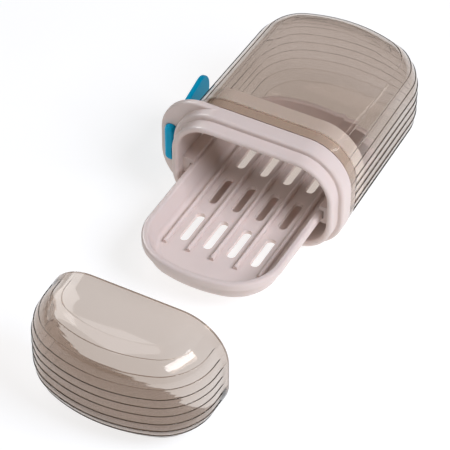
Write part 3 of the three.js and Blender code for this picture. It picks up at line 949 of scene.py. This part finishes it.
def spread(count, pitch):
    """Places of a row of copies about its middle."""
    return [(k - (count - 1) / 2) * pitch for k in range(count)]


def slot_ring(x, y, z):
    """A round-ended slot's outline."""
    radius, straight = DRAIN_W / 2, DRAIN_L / 2 - DRAIN_W / 2
    ring = arc(x, y + straight, radius, 0, 180, ROUND_STEPS)
    ring += arc(x, y - straight, radius, 180, 360, ROUND_STEPS)
    return [(px, py, z) for px, py in ring]


slot_ends = (tray_low.z - OVERRUN, tray_floor + OVERRUN)
for x in spread(DRAIN_ROWS, DRAIN_PITCH_X):
    for y in spread(DRAIN_COLUMNS, DRAIN_PITCH_Y):
        carve(tray, skin("drain", [slot_ring(x, y + tray_middle, z) for z in slot_ends]), "DIFFERENCE")
print(DRAIN_ROWS * DRAIN_COLUMNS, "slots of", DRAIN_L, "x", DRAIN_W, "mm")

# %% [markdown]
# ### Rest bars
# Low rounded bars beside the slots keep what lies there out of the wet. They could just be set on the
# floor, but loose meshes that only touch are not one moulding. So each is a straight run of one outline,
# sunk into the floor by half of its thickness and joined to it.

# %% Rest bars
REST_W = 1.8
REST_H = 1.8
REST_PAST = 5

rest_half = (DRAIN_COLUMNS - 1) * DRAIN_PITCH_Y / 2 + DRAIN_L / 2 + REST_PAST
rest_ends = (tray_middle - rest_half, tray_middle + rest_half)
rest_root = tray_floor - TRAY_FLOOR / 2
rest_crown = tray_floor + REST_H - REST_W / 2
for x in spread(DRAIN_ROWS + 1, DRAIN_PITCH_X):
    bar = [(x + REST_W / 2, rest_root)]
    bar += arc(x, rest_crown, REST_W / 2, 0, 180, ROUND_STEPS)
    bar.append((x - REST_W / 2, rest_root))
    carve(tray, skin("bar", [[(px, y, pz) for px, pz in bar] for y in rest_ends]), "UNION")
finish_piece(tray, "tray", "tray", beige)

# %% [markdown]
# ## The latch
# The rocker is a short round-ended head in the ear's window and a long flat tail behind it. Pressing the
# tail swings the head outwards and lets go of the cap's catch. A Bevel modifier could round its edges, but
# it struggles where the two parts meet. So each is made with its rounds, an outline drawn in step by step
# towards its faces, and then they are joined.

# %% Head and tail
HEAD_ROUND = 1.9
HEAD_BACK = 0.9
TAIL_T = 2.2
TAIL_L = 39
TAIL_EDGE = 0.6
TAIL_FLARE = math.radians(7)

head_front = latch_low.y
head_rear = FLANGE / 2 + HEAD_BACK
latch_mid = (latch_low.z + latch_high.z) / 2
latch_half = (latch_high.z - latch_low.z) / 2


def rounding(radius):
    """Inset and rise along a quarter round, from a face out to the full outline."""
    return [(radius - x, radius - y) for x, y in arc(0, 0, radius, 90, 0, ROUND_STEPS)]


def tail_outline(inset, x):
    """The tail seen from the side: straight edges and a round end, starting at the pin."""
    radius = latch_half - inset
    end = TAIL_L - latch_half
    ring = [(0, radius), (0, -radius)] + arc(end, 0, radius, -90, 90, 3 * ROUND_STEPS)
    return [(x, y, z) for y, z in ring]


front = [(inset, head_front + rise) for inset, rise in rounding(HEAD_ROUND)]
latch = skin("latch_rocker", [head_outline(inset, y) for inset, y in front + [(0, head_rear)]])
one_side = [(inset, rise - TAIL_T / 2) for inset, rise in rounding(TAIL_EDGE)]
other_side = [(inset, -x) for inset, x in reversed(one_side)]
tail = skin("tail", [tail_outline(inset, x) for inset, x in one_side + other_side])
tail.data.transform(Matrix.Rotation(TAIL_FLARE, 4, "Z"))
tail.data.transform(Matrix.Translation(Vector((pin_x, pin_y, latch_mid)) * MM))
carve(latch, tail, "UNION")
print("latch is", round(latch_high.y - latch_low.y, 1), "mm long with", len(latch.data.polygons), "faces")

# %% [markdown]
# ### Pin hole and catch slot
# The rocker has a bore for its pin, and a slot with a wider pocket that the cap's barbed tongue clicks
# into. They hardly show, and could be left out of the surface, but then the tongue would pass through solid
# plastic when the dish is closed. All three follow the sizes of what goes into them, with a small gap.

# %% Pin hole and catch slot
CATCH_GAP = 0.35

pin_hole = post("pin_hole", pin_x, pin_y, pin_hole_r, latch_low.z - OVERRUN, latch_high.z + OVERRUN)
carve(latch, pin_hole, "DIFFERENCE")
catch_depth = ear_front - CATCH_GAP
slot_foot = CATCH_FOOT - CATCH_GAP
slot_out = -catch_outer - CATCH_GAP
slot_high = (pin_x + HEAD_W, catch_depth + CATCH_GAP, catch_top + CATCH_GAP)
pocket_low = (slot_out - CATCH_BARB, catch_depth - CATCH_BARB_L - CATCH_GAP, slot_foot)
carve(latch, block("catch_slot", (slot_out, head_front - OVERRUN, slot_foot), slot_high), "DIFFERENCE")
carve(latch, block("catch_pocket", pocket_low, slot_high), "DIFFERENCE")
finish_piece(latch, "latch", "latch", blue)

# %% [markdown]
# ## Floor
# The dish lies on a sheet of white paper on a light table. The glow from below keeps the shadows pale and
# fills the clear plastic with light. A plain white plane would need far stronger lamps for that, and they
# would burn out the beige pieces. Paper is faintly cloudy where its fibres bunch. The true clouds are a few
# millimetres wide, too fine to show, so they are drawn coarser.

# %% Floor
FLOOR_HALF = 3000
FLOOR_DROP = 0.05
PAPER_CLOUD_MM = 40
PAPER_DEEP, PAPER_PALE = "#A2A2A2", "#A6A6A6"
PAPER_ROUGH = 0.9
PAPER_GLOW = 0.73

corners = [(-FLOOR_HALF, -FLOOR_HALF, 0), (FLOOR_HALF, -FLOOR_HALF, 0),
           (FLOOR_HALF, FLOOR_HALF, 0), (-FLOOR_HALF, FLOOR_HALF, 0)]
floor = piece_from("floor", corners, [(0, 1, 2, 3)])
paper, place = new_material("white_paper_sheet")
fibre = add(paper, "ShaderNodeTexNoise", {"Vector": place, "Scale": per_mm(PAPER_CLOUD_MM), "Detail": 2})
white = add(paper, "ShaderNodeMix", {
    0: fibre.outputs["Fac"], MIX_A: linear(PAPER_DEEP), MIX_B: linear(PAPER_PALE),
}, data_type="RGBA")
sheet = add(paper, "ShaderNodeBsdfPrincipled", {
    "Base Color": white.outputs[MIX_RESULT],
    "Roughness": PAPER_ROUGH,
    "Emission Color": linear("#FFFFFF"),
    "Emission Strength": PAPER_GLOW,
})
add(paper, "ShaderNodeOutputMaterial", {"Surface": sheet.outputs[0]})
floor.data.materials.append(paper)
floor.location.z = -FLOOR_DROP * MM
floor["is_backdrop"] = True
print("floor", 2 * FLOOR_HALF * MM, "m across")

# %% [markdown]
# ## Lamps
# A broad lamp high on the right and a wide one overhead light everything softly. Point lamps would need
# less, but they draw hard shadows and pin-sharp glints, and area lamps are soft as a studio's boxes are.
# The lamp on the right shows in no reflection, because its square shape would cover half of the case.

# %% Lamps
DISH_MIDDLE = Vector((0, -20, 20))


def lamp(name, aim, direction, away, size, power, colour="#FFFFFF"):
    """A soft lamp that faces its aim from a direction; its distance and its two sides are in millimetres."""
    light = bpy.data.objects.new(name, bpy.data.lights.new(name, "AREA"))
    light.data.shape = "RECTANGLE"
    light.data.size, light.data.size_y = size[0] * MM, size[1] * MM
    light.data.energy = power
    light.data.color = linear(colour)[:3]
    toward = Vector(direction).normalized()
    light.location = (aim + away * toward) * MM
    light.rotation_euler = toward.to_track_quat("Z", "Y").to_euler()
    bpy.context.collection.objects.link(light)
    return light


key = lamp("right_softbox", DISH_MIDDLE, (0.72, -0.05, 0.69), 1300, (700, 700), power=17, colour="#EEF2FF")
key.visible_glossy = False
key.visible_transmission = False
lamp("overhead_softbox", DISH_MIDDLE, (-0.3, -0.3, 0.9), 1600, (1200, 1000), power=6.3, colour="#FAFAFF")
print(len(bpy.data.lights), "broad lamps are set")

# %% [markdown]
# ### Cards and strips
# Clear and satin plastic live from what they reflect, and a studio sets up white cards and narrow boxes for
# that, each shaded off from the rest of the set. Highlights could be painted into the materials, but they
# would stay in place, while a lamp's reflection moves along the surface with the view. Light linking does
# the shading off here: a lamp is told which pieces it reaches, and whether it lights their colour or only
# their gloss.

# %% Cards and strips
CAP_MIDDLE = Vector((2, -125, 30))
CASE_SHOULDER = Vector((34, 35, 48))
LATCH_HEAD = Vector((-43, -2, 26))


def shade_off(light, pieces, gloss_only=True):
    """Lets a lamp reach only these pieces, and by default only their gloss."""
    lit = bpy.data.collections.new(f"lit_by_{light.name}")
    for piece in pieces:
        lit.objects.link(piece)
    light.light_linking.receiver_collection = lit
    light.visible_diffuse = not gloss_only


shine = lamp("cap_strip", CAP_MIDDLE, (0.76, -0.22, 0.61), 400, (420, 130), power=1.7)
card = lamp("left_card", CAP_MIDDLE, (-0.82, 0.16, 0.54), 600, (600, 500), power=2.2)
streak = lamp("case_strip", CASE_SHOULDER, (0.45, 0.64, 0.62), 300, (14, 160), power=0.035)
rim = lamp("rim_softbox", DISH_MIDDLE, (-0.75, 0.3, 0.6), 900, (500, 300), power=12)
glint = lamp("latch_strip", LATCH_HEAD, (-0.85, -0.4, 0.35), 400, (60, 200), power=0.7)
shade_off(shine, [front_cap])
shade_off(card, [front_cap])
shade_off(streak, [rear_case])
shade_off(rim, [collar, tray])
shade_off(glint, [latch], gloss_only=False)
print(len(bpy.data.lights), "lamps in all")

# %% [markdown]
# ## Room
# The edges of clear plastic show because they bend something darker into view. An all-white room would lose
# them, so the room is a dim warm grey that gets a little brighter low down behind the dish.

# %% Room
ROOM_GREY = "#6E6963"
BRIGHT_WAY = (-0.2, 0.9, -0.4)
DIM_FROM, BRIGHT_FROM = -0.2, 0.6
DIM_GLOW, BRIGHT_GLOW = 0.45, 0.85

room = bpy.data.worlds.new("grey_room")
room.use_nodes = True
way = add(room, "ShaderNodeTexCoord").outputs["Generated"]
toward_bright = add(room, "ShaderNodeVectorMath", {0: way, 1: BRIGHT_WAY}, operation="DOT_PRODUCT")
glow = add(room, "ShaderNodeMapRange", {
    "Value": toward_bright.outputs["Value"],
    "From Min": DIM_FROM,
    "From Max": BRIGHT_FROM,
    "To Min": DIM_GLOW,
    "To Max": BRIGHT_GLOW,
})
backdrop = room.node_tree.nodes["Background"]
backdrop.inputs["Color"].default_value = linear(ROOM_GREY)
room.node_tree.links.new(glow.outputs["Result"], backdrop.inputs["Strength"])
bpy.context.scene.world = room
print("room glows from", DIM_GLOW, "to", BRIGHT_GLOW)

# %% [markdown]
# ## Light through the shells
# A ray that enters the case crosses two faces of the near wall and two of the far one, and bounces between
# ribs on its way, so it needs more bounces than Blender's default. Light scattered by the beige pieces skips
# the shells, because bent light between them would only add noise. The plain view transform keeps the white
# of the floor white.

# %% Light through the shells
CLEAR_BOUNCES = 24
ALL_BOUNCES = 32

scene = bpy.context.scene
scene.view_settings.view_transform = "Standard"
scene.cycles.use_denoising = True
scene.cycles.transmission_bounces = CLEAR_BOUNCES
scene.cycles.max_bounces = ALL_BOUNCES
scene.cycles.transparent_max_bounces = ALL_BOUNCES
for shell_piece in (rear_case, front_cap):
    shell_piece.visible_diffuse = False
print("rays may bounce", scene.cycles.max_bounces, "times")

# %% [markdown]
# ## Sizes
# The surface must not outgrow the solids, or it would pass through things that the solids only touch. So
# the size of what was made here is printed, in millimetres.

# %% Sizes
made_low, made_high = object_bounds()
print("made", [round(c / MM, 1) for c in made_high - made_low], "mm over all")
